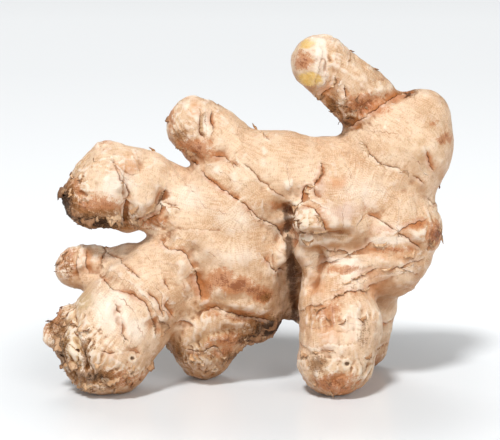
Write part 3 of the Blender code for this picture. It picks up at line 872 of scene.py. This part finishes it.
def grow_scale(sheet, layers, place, heading, size, dark, number):
    """Adds one scale to the sheet: rows of points over the skin, rising to the torn edge."""
    length, width, lift = size
    start, normal = on_skin(place)
    heading = np.array(heading, float)
    heading -= normal * heading.dot(normal)
    heading /= np.linalg.norm(heading) + 1e-9
    across = np.cross(normal, heading)
    dice = random.Random(number)
    tears = np.array([dice.uniform(-1, 1) for _ in range(16)])
    columns, rows = max(5, int(width / 0.55)), max(4, int(length / 0.6))
    grid = []
    for row in range(rows + 1):
        s = row / rows
        points = []
        for column in range(columns + 1):
            t = column / columns * 2 - 1
            tear = np.interp((t + 1) * 7.5, range(16), tears)
            reach = length * (1 - 0.55 * t * t) * (0.8 + 0.3 * tear)
            bend = 0.5 * width * t * (1 - 0.25 * s)
            flat = start + across * bend + heading * (s * reach - 0.12 * length * t * t)
            foot, facing = on_skin(flat)
            rise = -0.45 + (0.45 + lift * (1 - 0.5 * abs(t))) * s**1.3 + 0.25 * s * tear
            vertex = sheet.verts.new((foot + facing * rise) * MM)
            vertex[layers["free"]] = s
            vertex[layers["dark"]] = dark
            vertex[layers["vein"]] = (bend, s * reach * 0.16, number * 7.3)
            points.append(vertex)
        grid.append(points)
    for row, above in zip(grid, grid[1:]):
        for a, b, c, d in zip(row, row[1:], above[1:], above):
            sheet.faces.new((a, b, c, d))


def paper_paint():
    """Dry brown paper with veins along it, paler where it is thin and dark along the torn edge."""
    paint = Paint("papery_scale")
    vein = paint.node("ShaderNodeAttribute", {"attribute_name": "vein"}, {}).outputs["Vector"]
    veins, mottle, fine = paint.noise(0.45, 2, vein), paint.noise(2.5, 3), paint.noise(0.7, 3)
    free, dark = paint.attribute("free"), paint.attribute("dark")
    tone = paint.mix(paint.ramp(0.35, 0.65, mottle), colour(230, 196, 160), colour(212, 168, 124))
    tone = paint.tint(
        tone,
        (veins, 0.45, 0.65, 0.5, (176, 124, 78)),
        (dark + (mottle - 0.5) * 0.5, 0.15, 0.75, 0.75, (150, 98, 56)),
        (dark + (fine - 0.5) * 0.5, 0.6, 1.1, 0.8, (84, 52, 32)),
        (free + (fine - 0.5) * 0.4, 0.7, 1.0, dark * 0.5 + 0.35, (110, 70, 42)),
    )
    paint.fill(paint.surface, {
        "Base Color": tone, "Roughness": 0.55 + mottle * 0.2,
        "Normal": paint.bump(veins * 0.8 + fine * 0.3, 0.25), "Specular IOR Level": 0.4,
    })
    return paint.material


sheet = bmesh.new()
layers = {name: sheet.verts.layers.float.new(name) for name in ("free", "dark")}
layers["vein"] = sheet.verts.layers.float_vector.new("vein")
for number, (place, heading, length, width, lift, dark) in enumerate(TORN_SCALES):
    grow_scale(sheet, layers, place, heading, (length, width, lift), dark, number)
dice = random.Random(11)
candidates = [k for k in range(len(seam_at)) if seam_depth[k] > 0.45]
for number in range(EDGE_SCALES):
    k = dice.choice(candidates)
    size = (dice.uniform(1.0, 2.2), dice.uniform(2.5, 6.0), dice.uniform(0.1, 0.5))
    start = seam_at[k] - seam_across[k] * 0.7 * size[0]
    grow_scale(sheet, layers, start, seam_across[k], size, dice.uniform(0.0, 0.6), 100 + number)
flaky = np.flatnonzero(crinkle > 0.55)
for number in range(LOOSE_FLAKES):
    k = flaky[dice.randrange(len(flaky))]
    size = (dice.uniform(1.2, 2.8), dice.uniform(1.6, 4.2), dice.uniform(0.3, 1.2))
    heading = way[k] + [dice.uniform(-0.9, 0.9) for _ in range(3)]
    grow_scale(sheet, layers, smooth_body[k], heading, size, dice.uniform(0.1, 0.85), 300 + number)
bmesh.ops.recalc_face_normals(sheet, faces=sheet.faces)
scales_mesh = bpy.data.meshes.new("papery_scales")
sheet.to_mesh(scales_mesh)
sheet.free()
scales = new_object("papery_scales", scales_mesh)
scales.data = finished(scales, ("SOLIDIFY", {"thickness": PAPER_THICK * MM, "offset": 0.0}))
keep_above_ground(scales.data)
scales.data.shade_smooth()
scales.data.materials.append(paper_paint())
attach(scales, "root")

# ---------------------------------------------------------------------------------------------
# The hair roots. Stubs of the thin dry roots that grew from the lower fingers, broken off short when
# the hand was washed: stiff brown threads that stand out of the roughest skin.

HAIR_THICK = 0.11  # mm, radius
HAIR_LENGTH = 1.5  # mm
HAIRS_PER_SQUARE_METRE = 14_000


def hair_tree():
    """Geometry Nodes: bent threads on the skin, thickest where the skin is crinkled and barky."""
    tree = bpy.data.node_groups.new("hair_roots", "GeometryNodeTree")
    sockets = {}
    for name, kind in (
        ("Skin", "Geometry"), ("Density", "Float"), ("Length", "Float"), ("Thickness", "Float"),
        ("Seed", "Int"), ("Finish", "Material"),
    ):
        made = tree.interface.new_socket(name, in_out="INPUT", socket_type=f"NodeSocket{kind}")
        sockets[name] = made.identifier
    tree.interface.new_socket("Hairs", in_out="OUTPUT", socket_type="NodeSocketGeometry")

    def first(kind, sockets, **settings):
        return nodes.node(kind, settings, sockets).outputs[0]

    nodes = Nodes(tree)
    given = nodes.node("NodeGroupInput", {}, {}).outputs
    wild = first("GeometryNodeInputNamedAttribute", {"Name": "wild"}, data_type="FLOAT")
    amount = first("ShaderNodeMath", {0: wild, 1: given["Density"]}, operation="MULTIPLY")
    spread = nodes.node(
        "GeometryNodeDistributePointsOnFaces", {},
        {"Mesh": given["Skin"], "Density": amount, "Seed": given["Seed"]},
    ).outputs
    thread = first(
        "GeometryNodeCurveQuadraticBezier",
        {"Resolution": 6, "Start": (0, 0, -0.15), "Middle": (0.05, 0, 0.5), "End": (0.5, 0.1, 0.8)},
    )
    sized = first("ShaderNodeCombineXYZ", {axis: given["Length"] for axis in range(3)})
    long = first("GeometryNodeTransform", {"Geometry": thread, "Scale": sized})
    ring = first("GeometryNodeCurvePrimitiveCircle", {"Resolution": 5, "Radius": given["Thickness"]})
    tube = first("GeometryNodeCurveToMesh", {"Curve": long, "Profile Curve": ring, "Fill Caps": True})
    any_turn = nodes.node(
        "FunctionNodeRandomValue", {"data_type": "FLOAT"}, {"Max": 2 * math.pi, "Seed": given["Seed"]}
    )
    turn = first("ShaderNodeCombineXYZ", {2: any_turn.outputs[1]})
    turned = {"Rotation": spread["Rotation"], "Rotate By": turn}
    spun = first("FunctionNodeRotateRotation", turned, rotation_space="LOCAL")
    any_size = nodes.node(
        "FunctionNodeRandomValue", {"data_type": "FLOAT"}, {"Min": 0.35, "Max": 1.5, "Seed": 3}
    )
    placed = first(
        "GeometryNodeInstanceOnPoints",
        {"Points": spread["Points"], "Instance": tube, "Rotation": spun, "Scale": any_size.outputs[1]},
    )
    real = first("GeometryNodeRealizeInstances", {"Geometry": placed})
    finish = first("GeometryNodeSetMaterial", {"Geometry": real, "Material": given["Finish"]})
    nodes.node("NodeGroupOutput", {}, {0: finish})
    return tree, sockets


def hair_paint():
    """Dry root: dull dark brown, a little paler in places."""
    paint = Paint("hair_root")
    mottle = paint.noise(0.8, 2)
    tone = paint.mix(paint.ramp(0.35, 0.7, mottle), colour(92, 60, 38), colour(158, 112, 72))
    paint.fill(paint.surface, {"Base Color": tone, "Roughness": 0.6 + mottle * 0.2})
    return paint.material


hairs = new_object("hair_roots", skin.data.copy())
kept = {name: np.empty(len(hairs.data.vertices), np.float32) for name in ("crinkle", "bark_and_painted_shade", "under")}
for name, values in kept.items():
    hairs.data.attributes[name].data.foreach_get("value", values)
ground_gap = mesh_points(hairs.data)[:, 2]
wild = 0.08 * kept["crinkle"] + 1.2 * kept["bark_and_painted_shade"]
wild = wild * (0.5 + kept["under"].clip(0)) * ramp(1.5, 4, ground_gap)
store(hairs.data, "wild", wild.clip(0))
tree, sockets = hair_tree()
growing = hairs.modifiers.new("growing", "NODES")
growing.node_group = tree
values = {
    "Density": float(HAIRS_PER_SQUARE_METRE), "Length": HAIR_LENGTH * MM, "Thickness": HAIR_THICK * MM,
    "Seed": 4, "Finish": hair_paint(),
}
for name, value in values.items():
    growing[sockets[name]] = value
hairs.data = bpy.data.meshes.new_from_object(hairs.evaluated_get(bpy.context.evaluated_depsgraph_get()))
hairs.modifiers.clear()
keep_above_ground(hairs.data)
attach(hairs, "root")

# ---------------------------------------------------------------------------------------------
# The studio: a pale floor that runs out of view, wide soft lights, and a camera a little above
# the middle of the hand.

FLOOR_HALF = 20.0  # m
floor_mesh = bpy.data.meshes.new("floor")
sweep = bmesh.new()
bmesh.ops.create_grid(sweep, x_segments=1, y_segments=1, size=FLOOR_HALF)
sweep.to_mesh(floor_mesh)
sweep.free()
floor = new_object("floor", floor_mesh)
floor_paint = Paint("white_floor")
away = floor_paint.node("ShaderNodeVectorMath", {"operation": "LENGTH"}, {0: floor_paint.place})
from_middle = away.outputs["Value"]
glow = floor_paint.mix(floor_paint.ramp(60, 150, from_middle), (0.03, 0.03, 0.03, 1), (0.3, 0.3, 0.3, 1))
floor_paint.fill(floor_paint.surface, {
    "Emission Color": glow, "Emission Strength": 1.0, "Base Color": (0.86, 0.89, 0.91, 1),
    "Roughness": 0.2, "Specular IOR Level": 0.3,
})
floor.data.materials.append(floor_paint.material)

scene = bpy.context.scene
scene.world = bpy.data.worlds.new("studio")
scene.world.use_nodes = True
background = scene.world.node_tree.nodes["Background"]
background.inputs["Color"].default_value = (1, 1, 1, 1)
background.inputs["Strength"].default_value = 0.16
for name, turn_x, turn_z, strength, spread in (
    ("key", 34, -24, 2.5, 10),
    ("fill", 62, 30, 0.95, 36),
    ("back", -34, 14, 0.7, 30),
):
    lamp = bpy.data.lights.new(name, "SUN")
    lamp.energy = strength
    lamp.angle = math.radians(spread)
    light = bpy.data.objects.new(name, lamp)
    light.rotation_euler = (math.radians(turn_x), 0, math.radians(turn_z))
    scene.collection.objects.link(light)
scene.view_settings.view_transform = "Standard"

CAMERA_RISE = math.radians(10)
CAMERA_FAR = 0.508  # m from the middle of the hand
LOOKS_AT = Vector((0, 0, 0.0606))
camera = bpy.data.objects.new("camera", bpy.data.cameras.new("camera"))
camera.data.lens = 100
camera.data.sensor_width = 36
camera.data.clip_end = 100
camera.location = LOOKS_AT + CAMERA_FAR * Vector((0, -math.cos(CAMERA_RISE), math.sin(CAMERA_RISE)))
camera.rotation_euler = (math.pi / 2 - CAMERA_RISE, 0, 0)
scene.collection.objects.link(camera)
scene.camera = camera
